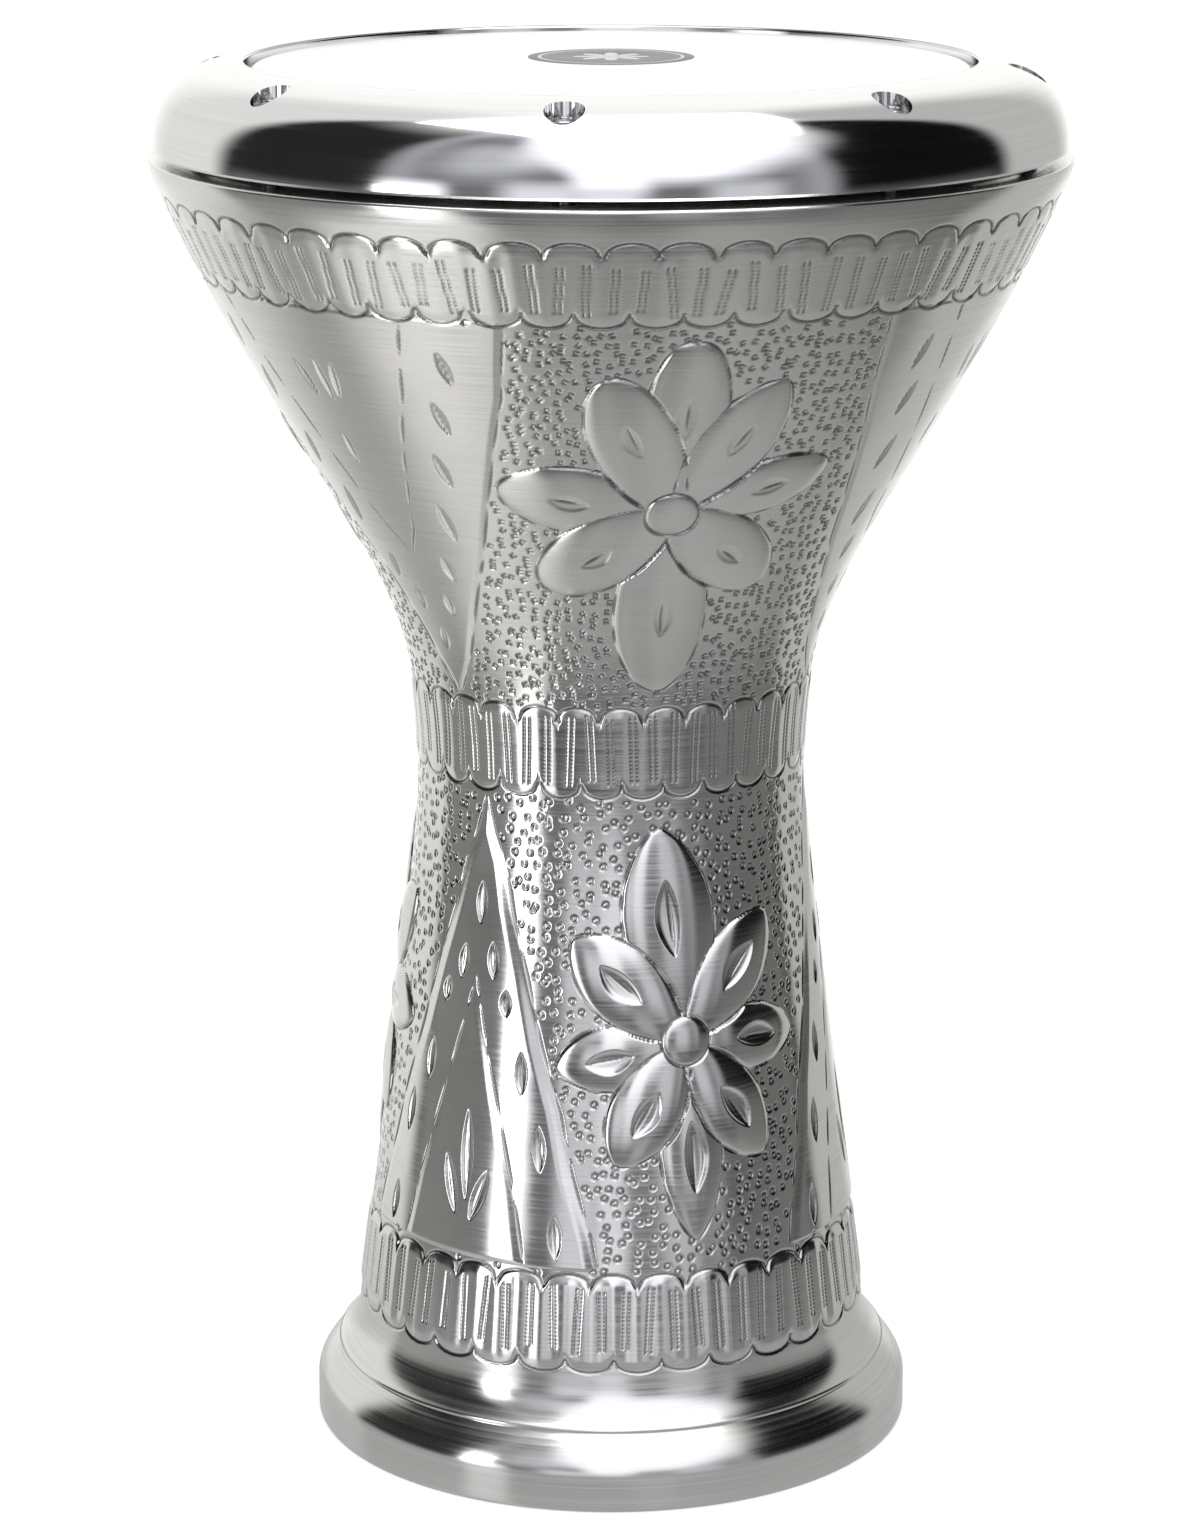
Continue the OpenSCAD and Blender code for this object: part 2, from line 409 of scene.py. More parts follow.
class Flower:
    """Eight petals round a domed disc. The first four lie behind the last four."""

    def __init__(self, centre, disc_r, petals, height, vein):
        self.centre = centre
        self.disc_r = disc_r
        self.petals = [Petal(centre, *petal) for petal in petals]
        self.height = height
        self.vein_share, self.vein_width, self.vein_depth = vein

    def disc_holds(self, theta, z, margin):
        return np.hypot(*local_point(theta, z, self.centre)) < self.disc_r + margin

    def holds(self, theta, z, margin):
        return self.disc_holds(theta, z, margin) or any(p.holds(theta, z, margin) for p in self.petals)

    def draw(self, chasing):
        back, front = self.petals[:4], self.petals[4:]
        for petal in self.petals:
            petal.puff(chasing, self.height)
            self.draw_vein(chasing, petal)
        for petal in self.petals:
            others = front if petal in back else []

            def covered(theta, z, others=others):
                return self.disc_holds(theta, z, 0.6) or any(o.holds(theta, z, -0.3) for o in others)

            for side in petal.outline():
                dashes(chasing, side, 0.55, 0.46, skip=covered)
        self.draw_disc(chasing)

    def draw_vein(self, chasing, petal):
        """A bent hollow near the middle of the petal, with a line engraved in it."""
        half = self.vein_share / 2
        start, end = (petal.place(t, 0) for t in (0.58 - half, 0.58 + half))
        bend = 0.04 * self.vein_share * petal.length
        hollow(chasing, start, end, self.vein_width, self.vein_depth, bend)
        line = [petal.place(t, 0) for t in (0.6 - 0.72 * half, 0.6 + 0.72 * half)]
        stroke(chasing, polyline(line), 0.5, 0.42)

    def draw_disc(self, chasing):
        rows, columns, u, v = chasing.window(*self.centre, self.disc_r * 1.5)
        distance = np.hypot(u, v)
        dome = np.sqrt(np.clip(1 - (distance / self.disc_r) ** 2, 0, 1))
        mask = smooth((self.disc_r - distance) / 0.7 + 1)
        chasing.raise_to(rows, columns, 0.4 * self.height + 1.2 * dome, mask)
        ring = [
            place_of(self.disc_r * np.array([math.cos(a), math.sin(a)]), self.centre)
            for a in np.linspace(0, 2 * math.pi, 30)
        ]
        for k in range(0, 29, 7):
            stroke(chasing, ring[k:k + 8], 0.5, 0.35, taper=False)


REPEATS = (0.0, 120.0, 240.0)


def flower_petals(turn, *petals):
    """Petals given as (direction, height, width, bluntness of the ends), turned round the drum."""
    return [((theta + turn, z), width, blunt) for theta, z, width, blunt in petals]


def upper_flower(turn):
    """Rounded petals, mildly raised, on the bowl."""
    petals = flower_petals(
        turn,
        (11.5, 361, 25, 0.36), (-20, 315, 24, 0.55), (39.5, 320, 19, 0.55), (12, 248, 28, 0.5),
        (-1, 349.5, 25, 0.44), (26, 348, 23, 0.62), (-15, 283, 26, 0.42), (35, 282.5, 26, 0.42),
    )
    return Flower((11.0 + turn, 307.0), 7.8, petals, 1.8, (0.24, 6.0, 0.5))


def lower_flower(turn):
    """Pointed petals, strongly raised, on the trunk."""
    petals = flower_petals(
        turn,
        (13.5, 205, 29, 0.66), (-14.5, 132, 20, 0.66), (55, 137, 20, 0.62), (20.5, 79, 20, 0.68),
        (-10.5, 171.5, 23.5, 0.6), (48, 175.5, 22.5, 0.62), (1, 103, 22, 0.6), (40.5, 102, 22, 0.6),
    )
    return Flower((19.5 + turn, 140.0), 7.5, petals, 2.2, (0.36, 7.6, 1.2))


# Edges of the two figures beside each flower: height, then degrees from the figure's middle line
UPPER_FIGURE = {
    "middle": -47.0,
    "outer": np.array([
        (243, 0.5), (254, 6.5), (269, 12), (291, 20), (309, 24.5), (321, 27), (343, 31), (366, 33),
    ]),
    "inner": np.array([(288, 0), (297, 4.3), (311, 8), (329, 12), (343, 15), (366, 18.3)]),
}
LOWER_FIGURE = {
    "middle": -38.3,
    "outer": np.array([
        (71, 35.2), (80, 33.8), (99, 29.3), (118, 25.8), (138, 20.3),
        (158, 15.8), (178, 10.3), (192, 7.3), (202, 3.3), (213, 0.2),
    ]),
    "inner": np.array([(72, 17.8), (92, 14.8), (113, 10.3), (130, 6.3), (157, 0)]),
}
# Leaves in the figures: each from its top to its foot, as degrees from the middle line, and height
UPPER_MARKS = [
    ((22.8, 357), (24.2, 346)), ((20, 341), (21.6, 330)), ((17, 324), (18.6, 313)),
    ((13, 307), (14.2, 295)), ((9.4, 289), (10.4, 281)), ((5.2, 276), (5.2, 269)),
    ((-0.8, 264), (-0.6, 257)),
]
LOWER_MARKS = [
    ((9.6, 154), (10.2, 146)), ((4.2, 168), (5.0, 157)), ((0.4, 186), (0.6, 173)),
    ((15, 136), (15.6, 123)), ((20.6, 114), (21.4, 100)), ((24.2, 87), (25, 74)),
]
UPPER_SPROUT = [
    ((3, 350), (1.5, 338)), ((-0.5, 351), (-0.2, 337)),
    ((-5.5, 349), (-3.5, 338)), ((-2.5, 327), (-2.3, 317)),
]
LOWER_SPROUT = [((0.6, 116), (1.6, 88)), ((-5.4, 101), (-1.2, 83)), ((7.3, 98), (3.2, 82))]


def figure_width(edge, z):
    """Half-width of a figure at height z, in degrees; negative outside its height."""
    width = np.interp(z, edge[:, 0], edge[:, 1])
    outside = (z < edge[0, 0]) | (z > edge[-1, 0])
    return np.where(outside, -5.0, width)


def plateau(chasing, figure, edge, height, soft):
    """Raises the inside of a figure by height, with a shoulder of soft millimetres."""
    width = figure_width(edge, ROW_Z)
    for turn in REPEATS:
        off = (COLUMN_DEG[None, :] - figure["middle"] - turn + 180) % 360 - 180
        inside = (width[:, None] - np.abs(off)) * math.pi / 180 * ROW_R[:, None]
        chasing.relief += height * smooth(inside / soft)


def figure_edges(chasing, figure, key, half_width, depth):
    for turn in REPEATS:
        for side in (-1, 1):
            points = [(figure["middle"] + turn + side * w, z) for z, w in figure[key]]
            dashes(chasing, polyline(points), half_width, depth, dash=(8, 22))


def leaf_marks(chasing, figure, marks, width, depth):
    """Leaves on both sides of the figure's middle line, a little out of place."""
    for turn in REPEATS:
        for (top, high), (foot, low) in marks:
            for side in (-1, 1):
                if side == -1 and abs(top) < 3:
                    continue
                shift = rng.uniform(-0.6, 0.6)
                lift = rng.uniform(-2.5, 2.5) if side == -1 else 0.0
                middle = figure["middle"] + turn + shift
                start = (middle + side * top, high + lift)
                leaf(chasing, start, (middle + side * foot, low + lift), width, depth)


def sprout(chasing, figure, leaves, width, depth):
    """The small leaves inside a figure."""
    for turn in REPEATS:
        middle = figure["middle"] + turn
        for (top, high), (foot, low) in leaves:
            leaf(chasing, (middle + top, high), (middle + foot, low), width, depth)


# Half the distance between the two rows of dots in a ladder
LADDER_HALF = 0.85


class Band:
    """A belt of lobes between two rows of arcs, with ladders of small dots down it."""

    def __init__(self, lobes, edges, arc_rise, ladder, start, bulge, flute):
        self.lobes, self.arc_rise, self.start = lobes, arc_rise, start
        self.low, self.high = edges
        self.ladder_low, self.ladder_high = ladder
        self.bulge, self.flute = bulge, flute
        self.pitch = 360.0 / lobes
        self.nudge = rng.uniform(-0.06, 0.06, 2 * lobes) * self.pitch

    def arc_z(self, x, upper):
        """Height of an arc at x, which goes from -0.5 to 0.5 across it."""
        rise = self.arc_rise * np.sqrt(np.clip(1 - (2 * x) ** 2, 0, 1))
        return self.high - self.arc_rise + rise if upper else self.low + self.arc_rise - rise

    def lobe_edge(self, theta, upper):
        """Height of the scalloped edge at theta."""
        offset = 0.0 if upper else 0.5
        return self.arc_z(((theta - self.start) / self.pitch + offset + 0.5) % 1.0 - 0.5, upper)

    def holds(self, theta, z, margin):
        return self.lobe_edge(theta, False) - margin < z < self.lobe_edge(theta, True) + margin

    def draw(self, chasing):
        upper = self.lobe_edge(COLUMN_DEG, True)
        lower = self.lobe_edge(COLUMN_DEG, False)
        inside = np.minimum(upper[None, :] - ROW_Z[:, None], ROW_Z[:, None] - lower[None, :])
        phase = ((COLUMN_DEG - self.start) / self.pitch * 2 + 0.5) * 2 * math.pi
        flute = 1 - self.flute - self.flute * np.cos(phase)[None, :]
        chasing.relief += self.bulge * smooth(inside / 3.6) ** 0.8 * flute
        self.draw_arcs(chasing)
        self.draw_ladders(chasing)

    def draw_arcs(self, chasing):
        for k in range(self.lobes):
            for upper in (True, False):
                lobe = k if upper else k - 0.5
                centre = self.start + lobe * self.pitch + self.nudge[2 * k + int(upper)]
                grow = rng.uniform(0.95, 1.02)
                points = [
                    (centre + x * grow * self.pitch, self.arc_z(x, upper))
                    for x in np.linspace(-0.5, 0.5, 13)
                ]
                stroke(chasing, points, 0.58, 0.46, taper=False)

    def draw_ladders(self, chasing):
        for k in range(2 * self.lobes):
            centre = self.start + (k + 0.5) * self.pitch / 2 + self.nudge[k] * 0.5
            low = self.ladder_low + rng.uniform(-1.0, 1.5)
            high = self.ladder_high + rng.uniform(-1.5, 1.0)
            lean = rng.uniform(-0.5, 0.5)
            for side in (-LADDER_HALF, LADDER_HALF):
                row = centre + math.degrees(side / float(radius_at((low + high) / 2)))
                places = polyline([(row - lean, low), (row + lean, high)], 4.0)
                stroke(chasing, places, 0.5, 0.34, taper=False)
            self.rungs(chasing, centre, low, high)

    def rungs(self, chasing, centre, low, high):
        """Small cross ridges that break a ladder into dots."""
        rows, columns, u, v = chasing.window(centre, (low + high) / 2, (high - low) / 2)
        z = ROW_Z[rows][:, None]
        near = smooth(2.6 - np.abs(u) / LADDER_HALF) * (z > low) * (z < high)
        wave = 0.5 - 0.5 * np.cos(2 * math.pi * v / (3 * ROW_STEP))
        here = chasing.cuts[rows, columns]
        chasing.cuts[rows, columns] = here * (1 - 0.85 * near * wave)


BANDS = [
    Band(52, (365.5, 390.5), 4.2, (369.5, 384.0), 2.2, 0.4, 0.12),
    Band(30, (214.3, 242.5), 4.4, (219.0, 240.0), 3.0, 0.5, 0.12),
    Band(33, (39.5, 69.5), 3.8, (46.0, 65.5), 0.5, 0.7, 0.22),
]


def punch_rings(chasing, places, radius, half_width, depth):
    """Ring-shaped punch marks, some struck at a slant so that one side fades."""
    for theta, z in places:
        rows, columns, u, v = chasing.window(theta, z, radius * 2.4)
        lean = rng.uniform(0, 2 * math.pi)
        weight = 0.72 + 0.28 * np.cos(np.arctan2(v, u) - lean)
        groove = smooth(1 - np.abs(np.hypot(u, v) - radius) / half_width)
        chasing.cut(rows, columns, -depth * weight * groove)


def punch_hooks(chasing, places, size, half_width, depth):
    """Square hook marks: three sides of a small square."""
    for theta, z in places:
        rows, columns, u, v = chasing.window(theta, z, size * 2.2)
        turn = rng.normal(0.0, 0.35)
        x = u * math.cos(turn) + v * math.sin(turn)
        y = -u * math.sin(turn) + v * math.cos(turn)
        half = size / 2
        square = np.maximum(np.abs(x), np.abs(y))
        groove = smooth(1 - np.abs(square - half) / half_width)
        groove = np.where((x > half * 0.5) & (np.abs(y) < half * 0.6), 0.0, groove)
        chasing.cut(rows, columns, -depth * groove)


def panel_places(low, high, spacing, figure, flowers):
    """Places of the punch marks that fill the ground round the flowers."""
    places = []
    s = float(along_at(low))
    while s < along_at(high):
        z = float(height_at(s))
        step = math.degrees(spacing / float(radius_at(z)))
        theta = -180.0 + rng.uniform(0, step)
        while theta < 180.0:
            t = theta + rng.normal(0, 0.16) * step
            y = z + rng.normal(0, 0.2) * spacing
            theta += step * rng.uniform(0.8, 1.25)
            if allowed(t, y, figure, flowers):
                places.append((t, y))
        s += spacing * 0.92
    return places


def allowed(theta, z, figure, flowers):
    """Whether the place is clear of the figures, the bands and the flowers."""
    off = (theta - figure["middle"] + 60) % 120 - 60
    width = float(figure_width(figure["outer"], np.array(z)))
    if abs(off) < width + math.degrees(1.5 / float(radius_at(z))):
        return False
    if any(band.holds(theta, z, 1.2) for band in BANDS):
        return False
    nearest = min(flowers, key=lambda f: abs((theta - f.centre[0] + 180) % 360 - 180))
    near = nearest.centre[0] + (theta - nearest.centre[0] + 180) % 360 - 180
    return not nearest.holds(near, z, 1.1)


def value_noise(cell_mm, amount):
    """Soft unevenness of hand-beaten metal."""
    middle_r = 80
    rows = int(ROW_S[-1] / cell_mm) + 3
    columns = int(2 * math.pi * middle_r / cell_mm)
    lattice = rng.uniform(-1, 1, (rows, columns))
    y = ROW_S / cell_mm
    x = (COLUMN_DEG + 180) / 360 * columns
    y0, x0 = np.floor(y).astype(int), np.floor(x).astype(int)
    fy, fx = smooth(y - y0)[:, None], smooth(x - x0)[None, :]
    x1 = (x0 + 1) % columns
    x0 = x0 % columns
    low = lattice[y0][:, x0] * (1 - fx) + lattice[y0][:, x1] * fx
    high = lattice[y0 + 1][:, x0] * (1 - fx) + lattice[y0 + 1][:, x1] * fx
    return amount * (low * (1 - fy) + high * fy)


def chase_shell():
    """All of the ornament; returns the height of the metal and the share of it that is cut."""
    chasing = Chasing()
    plateau(chasing, UPPER_FIGURE, UPPER_FIGURE["outer"], 0.3, 2.5)
    plateau(chasing, LOWER_FIGURE, LOWER_FIGURE["outer"], 0.7, 5.0)
    plateau(chasing, LOWER_FIGURE, LOWER_FIGURE["inner"], 0.25, 3.5)
    for band in BANDS:
        band.draw(chasing)
    upper = [upper_flower(turn) for turn in REPEATS]
    lower = [lower_flower(turn) for turn in REPEATS]
    for flower in upper + lower:
        flower.draw(chasing)
    for figure in (UPPER_FIGURE, LOWER_FIGURE):
        figure_edges(chasing, figure, "outer", 0.52, 0.42)
        figure_edges(chasing, figure, "inner", 0.52, 0.42)
    leaf_marks(chasing, UPPER_FIGURE, UPPER_MARKS, 4.2, 0.38)
    leaf_marks(chasing, LOWER_FIGURE, LOWER_MARKS, 4.2, 0.8)
    sprout(chasing, UPPER_FIGURE, UPPER_SPROUT, 3.4, 0.4)
    sprout(chasing, LOWER_FIGURE, LOWER_SPROUT, 4.6, 0.8)
    punch_hooks(chasing, panel_places(243, 369, 3.6, UPPER_FIGURE, upper), 1.2, 0.44, 0.42)
    punch_rings(chasing, panel_places(66, 218, 4.1, LOWER_FIGURE, lower), 0.85, 0.46, 0.42)
    relief = chasing.relief + value_noise(22, 0.09) + value_noise(9, 0.03)
    fade = smooth((ROW_Z - ORNAMENT_LOW_Z) / 3.0) * smooth((ORNAMENT_HIGH_Z - ROW_Z) / 3.0)
    return (relief + chasing.cuts) * fade[:, None], np.clip(-chasing.cuts / 0.3, 0, 1)


# ---------------------------------------------------------------- mesh helpers

def add_object(name, mesh):
    mesh.shade_smooth()
    piece = bpy.data.objects.new(name, mesh)
    bpy.context.scene.collection.objects.link(piece)
    return piece


def grid_object(name, points):
    """A closed surface of quads from points[row, column, xyz] in millimetres; both ways wrap."""
    rows, columns = points.shape[:2]
    count = rows * columns
    mesh = bpy.data.meshes.new(name)
    mesh.vertices.add(count)
    mesh.vertices.foreach_set("co", (points * MM).astype(np.float32).ravel())
    row = np.arange(rows)[:, None]
    column = np.arange(columns)[None, :]
    next_row, next_column = (row + 1) % rows, (column + 1) % columns
    corners = np.stack([
        row * columns + column,
        row * columns + next_column,
        next_row * columns + next_column,
        next_row * columns + column,
    ], axis=-1).astype(np.int32)
    mesh.loops.add(4 * count)
    mesh.loops.foreach_set("vertex_index", corners.ravel())
    mesh.polygons.add(count)
    mesh.polygons.foreach_set("loop_start", np.arange(count, dtype=np.int32) * 4)
    mesh.update(calc_edges=True)
    return add_object(name, mesh)


def round_axis(radius, z, angle):
    """Points at a radius and a height, in each direction of angle."""
    x, y, z = np.broadcast_arrays(radius * np.sin(angle), -radius * np.cos(angle), z)
    return np.stack([x, y, z], axis=-1)


def full_turn(columns):
    return np.arange(columns) * 2 * math.pi / columns


def revolved(line, angle):
    """Points of an outline (r, z) turned round the axis."""
    line = np.asarray(line, float)
    return round_axis(line[:, :1], line[:, 1:], angle)


def lathe(name, line, columns):
    """A closed solid of revolution from an outline that runs anticlockwise in the (r, z) plane."""
    return grid_object(name, revolved(line, full_turn(columns)))


def sharpen(piece, degrees):
    piece.data.set_sharp_from_angle(angle=math.radians(degrees))


def subtract(piece, cutters):
    """Cuts the cutters out of the piece."""
    for cutter in cutters:
        modifier = piece.modifiers.new("cut", "BOOLEAN")
        modifier.operation = "DIFFERENCE"
        modifier.solver = "EXACT"
        modifier.object = cutter
    depsgraph = bpy.context.evaluated_depsgraph_get()
    mesh = bpy.data.meshes.new_from_object(piece.evaluated_get(depsgraph))
    piece.modifiers.clear()
    old = piece.data
    piece.data = mesh
    bpy.data.meshes.remove(old)
    for cutter in cutters:
        bpy.data.objects.remove(cutter)


def screw_axes():
    """Centre of each screw, (x, y) in millimetres, from the CAD screws."""
    return [sum(cad_box_mm(name))[:2] / 2 for name in SCREW_NAMES]


def drill(line, columns=48):
    """One cutter for every screw: an outline (r, z) turned round each screw's axis."""
    points = revolved(line, full_turn(columns))
    return [grid_object(f"cutter_{k}", points + [x, y, 0.0]) for k, (x, y) in enumerate(screw_axes())]


# ---------------------------------------------------------------- the pieces

# The casting is two meshes that meet along this line (r, z)
SEAM = [(127.6, 382.0), (130.5, RIM_Z)]


def line_on(radius_of, heights):
    """Points (r, z) of a curved wall at the given heights."""
    return [(float(r), z) for r, z in zip(radius_of(heights), heights)]


def goblet():
    """The chased goblet: up the outside, over the rim to the seam, and down the inside."""
    height, cut = chase_shell()
    angle = np.radians(COLUMN_DEG)
    chased_r = ROW_R[:, None] + height * ROW_NR[:, None]
    chased_z = ROW_Z[:, None] + height * ROW_NZ[:, None]

    below = foot_line() + line_on(outer_radius, np.linspace(BEAD_Z, ORNAMENT_LOW_Z, 22)[:-1])
    above = line_on(outer_radius, np.linspace(ORNAMENT_HIGH_Z, RIM_Z - 1.0, 8)[1:])
    above += arc((RIM_R - 1.0, RIM_Z - 1.0), 1.0, 15, 90, 5)
    above += [(134.0, RIM_Z), SEAM[1], (129.1, 391.0), SEAM[0]]
    inside = line_on(inner_radius, np.linspace(GUSSET_Z, TRUNK_Z, 90))
    low = (MOUTH_BAND_H, MOUTH_R, -0.3)
    high = (TRUNK_Z, inside[-1][0], -0.125)
    inside += [(hermite(z, low, high), z) for z in np.linspace(TRUNK_Z, MOUTH_BAND_H, 12)[1:]]
    inside += [(MOUTH_R, 5.0), (MOUTH_R, 0.8), (MOUTH_R + 0.8, 0.0)]

    parts = [revolved(below, angle), round_axis(chased_r, chased_z, angle), revolved(above + inside, angle)]
    piece = grid_object("goblet_shell", np.concatenate(parts))
    # The share that is cut, kept on the mesh for the painted shade in the grooves
    shade = np.pad(cut, ((len(below), len(above) + len(inside)), (0, 0)))
    attribute = piece.data.attributes.new("cut", "FLOAT", "POINT")
    attribute.data.foreach_set("value", shade.astype(np.float32).ravel())
    return piece


def head_seat():
    """The casting's top inside the rim: tapped holes, bearing wall and rounded bearing edge."""
    wall_r = float(inner_radius(np.array(GUSSET_Z)))
    line = [
        (wall_r, GUSSET_Z),
        *SEAM,
        (BEARING_R + 1.5, RIM_Z),
        *arc((BEARING_R + 1.5, RIM_Z + 1.5), 1.5, 250, 190, 4),
        (BEARING_R, RIM_Z + 3),
        *arc((BEARING_R - EDGE_ROUND, EDGE_Z), EDGE_ROUND, 0, 180, 16),
        (THROAT_R, THROAT_Z),
    ]
    piece = lathe("goblet_head_seat", line, 360)
    radius = HOLE_D / 2
    floor_z = RIM_Z - HOLE_DEPTH
    subtract(piece, drill([
        (DRILL_R, floor_z), (radius, floor_z), (radius, RIM_Z - 0.6),
        (radius + 0.6, RIM_Z + 0.01), (radius + 0.6, RIM_Z + 2), (DRILL_R, RIM_Z + 2),
    ]))
    sharpen(piece, 32)
    return piece


def ring_line():
    """Section of the clamp ring: a squared quarter ellipse outside, a recess for the hoop inside."""
    side = RING_R - RING_CURVE_R
    rise = RING_TOP_Z - RING_SIDE_Z
    power = 2 / RING_SQUARENESS
    start = math.asin(((RING_BOTTOM_Z + 0.8 - RING_SIDE_Z) / rise) ** (1 / power))
    line = []
    for a in np.linspace(start, math.radians(88.6), 90):
        line.append((RING_CURVE_R + side * math.cos(a) ** power, RING_SIDE_Z + rise * math.sin(a) ** power))
    low_r = line[0][0] - 0.6
    line += arc((RING_OPEN_R + 0.9, RING_TOP_Z - 0.9), 0.9, 95, 180, 7)
    line += [(RING_OPEN_R, LIP_Z + 0.3), (RING_OPEN_R + 0.3, LIP_Z), (RECESS_R, LIP_Z)]
    line += [(RECESS_R, RING_BOTTOM_Z + 0.5), (RECESS_R + 0.5, RING_BOTTOM_Z), (low_r, RING_BOTTOM_Z)]
    return line


def clamp_ring():
    piece = lathe("clamp_ring", ring_line(), 900)
    bore, clear = COUNTERBORE_D / 2, CLEARANCE_D / 2
    low, top = RING_BOTTOM_Z - 2, RING_TOP_Z + 4
    subtract(piece, drill([
        (DRILL_R, low), (clear, low), (clear, COUNTERBORE_Z - 0.4), (clear + 0.4, COUNTERBORE_Z),
        (bore, COUNTERBORE_Z), (bore, top), (DRILL_R, top),
    ], 64))
    sharpen(piece, 35)
    return piece


def film():
    """Playing surface of the head, down to where the film leaves the bearing edge."""
    centre = (BEARING_R - EDGE_ROUND, EDGE_Z)
    inside = EDGE_ROUND + FILM_GAP
    flat = np.linspace(8, centre[0] - 4, 14)
    line = [(TURNED_R, HEAD_Z - FILM_T)] + [(r, HEAD_Z - FILM_T) for r in flat]
    line += arc(centre, inside, 90, 0, 12) + arc(centre, inside + FILM_T, 0, 90, 12)
    line += [(r, HEAD_Z) for r in flat[::-1]] + [(TURNED_R, HEAD_Z)]
    return lathe("drum_head", line, 360)


def skirt():
    """The same film between the bearing edge and the hoop, where the real film stretches as the ring moves.
    """
    inner = BEARING_R + FILM_GAP
    outer = inner + FILM_T
    turn_out, low, top = SKIRT_HIGH[0], SKIRT_LOW[2], SKIRT_HIGH[2]
    bend = LIP_Z + 0.3
    line = [(inner, z) for z in (top, *np.linspace(top, bend, 10)[1:])]
    line += [(turn_out - FILM_T, low), (turn_out, low)]
    line += [(outer, z) for z in np.linspace(bend + 0.2, top, 10)]
    return lathe("head_skirt_film", line, 360)


def badge():
    """The thin disc printed on the head."""
    thick = BADGE_HIGH[2] - BADGE_LOW[2]
    line = [(TURNED_R, 0), (BADGE_R, 0), (BADGE_R, thick / 2)]
    line += [(BADGE_R - thick / 2, thick), (TURNED_R, thick)]
    place = [BADGE_CENTRE[0], BADGE_CENTRE[1], BADGE_LOW[2]]
    return grid_object("plain_badge", revolved(line, full_turn(128)) + place)


def screw_mesh(name, x, y, low, high):
    """Socket-head cap screw with a knurled head, a hexagon socket and an M6 thread."""
    head_h, head_r, shank_r, pitch, thread_depth = 6.0, 5.0, 2.97, 1.0, 0.55
    socket_half_width = 2.5
    seat = high - head_h
    thread_end = seat - 4.0
    knurls = 32
    angle = full_turn(96)
    rows = []

    def add(*places):
        for radius, z in places:
            rows.append(round_axis(radius + np.zeros_like(angle), z, angle))

    add((TURNED_R, low), (shank_r - 1.0, low))
    for z in np.arange(low + 0.4, thread_end, pitch / 8):
        phase = (z / pitch - angle / (2 * math.pi)) % 1.0
        groove = np.abs(phase - 0.5) * 2
        runout = min(1.0, (thread_end - z) / 1.5, (z - low) / 1.2)
        add((shank_r - thread_depth * (1 - groove) * max(runout, 0.0), z))
    add((shank_r, thread_end + 0.1), (shank_r, seat - 0.2), (shank_r + 0.2, seat))
    add((head_r - 0.3, seat), (head_r, seat + 0.3))
    knurl = 0.11 * np.abs(np.sin(angle * knurls / 2))
    add(*[(head_r - knurl, z) for z in np.linspace(seat + 0.6, high - 0.9, 6)])
    add((head_r - 0.02, high - 0.6), (head_r - 0.25, high - 0.15))
    add((head_r - 0.6, high), (head_r - 1.2, high))
    socket = socket_half_width / np.cos((angle + math.pi / 6) % (math.pi / 3) - math.pi / 6)
    add((np.minimum(socket + 0.3, 3.1), high), (socket, high - 0.3), (socket, high - 2.9))
    add((2.3, high - 3.0), (TURNED_R, high - 4.2))
    piece = grid_object(name, np.array(rows) + [x, y, 0.0])
    sharpen(piece, 30)
    return piece


# ---------------------------------------------------------------- node trees

class Nodes:
    """Builds the nodes of one tree. A value is a number, a colour or another node's output."""

    def __init__(self, tree):
        self.tree = tree

    def give(self, socket, value):
        if isinstance(value, bpy.types.NodeSocket):
            self.tree.links.new(value, socket)
        else:
            socket.default_value = value

    def node(self, kind, sockets=(), **settings):
        """A new node; sockets maps the names or numbers of its inputs to values."""
        made = self.tree.nodes.new(kind)
        for key, value in settings.items():
            setattr(made, key, value)
        for key, value in dict(sockets).items():
            self.give(made.inputs[key], value)
        return made

    def split(self, vector):
        return self.node("ShaderNodeSeparateXYZ", {"Vector": vector}).outputs

    def maths(self, operation, *values):
        return self.node("ShaderNodeMath", enumerate(values), operation=operation).outputs["Value"]

    def product(self, first, *others):
        for other in others:
            first = self.maths("MULTIPLY", first, other)
        return first

    def from_axis(self, x, y):
        square = self.maths("ADD", self.product(x, x), self.product(y, y))
        return self.maths("SQRT", square)

    def ranged(self, value, low, high, from_low=0.3, from_high=0.7, **settings):
        """A value spread over low to high."""
        ends = {"From Min": from_low, "From Max": from_high, "To Min": low, "To Max": high}
        return self.node("ShaderNodeMapRange", {"Value": value, **ends}, **settings).outputs["Result"]

    def edge(self, value, at, soft):
        """0 below at, 1 above it; a negative soft turns it round."""
        half = abs(soft) / 2
        ends = (0.0, 1.0) if soft > 0 else (1.0, 0.0)
        return self.ranged(value, *ends, at - half, at + half, interpolation_type="SMOOTHSTEP")

    def towards(self, level, share, value):
        """The level, moved a share of the way to a value."""
        return self.maths("ADD", level, self.product(share, self.maths("SUBTRACT", value, level)))

    def mix_colours(self, share, first, second):
        mix = self.node("ShaderNodeMix", data_type="RGBA")
        for key, value in (("Factor", share), ("A", first), ("B", second)):
            self.give(mix.inputs[key], value)
        return mix.outputs["Result"]

    def mix_shaders(self, share, first, second):
        return self.node("ShaderNodeMixShader", {"Fac": share, 1: first, 2: second}).outputs["Shader"]


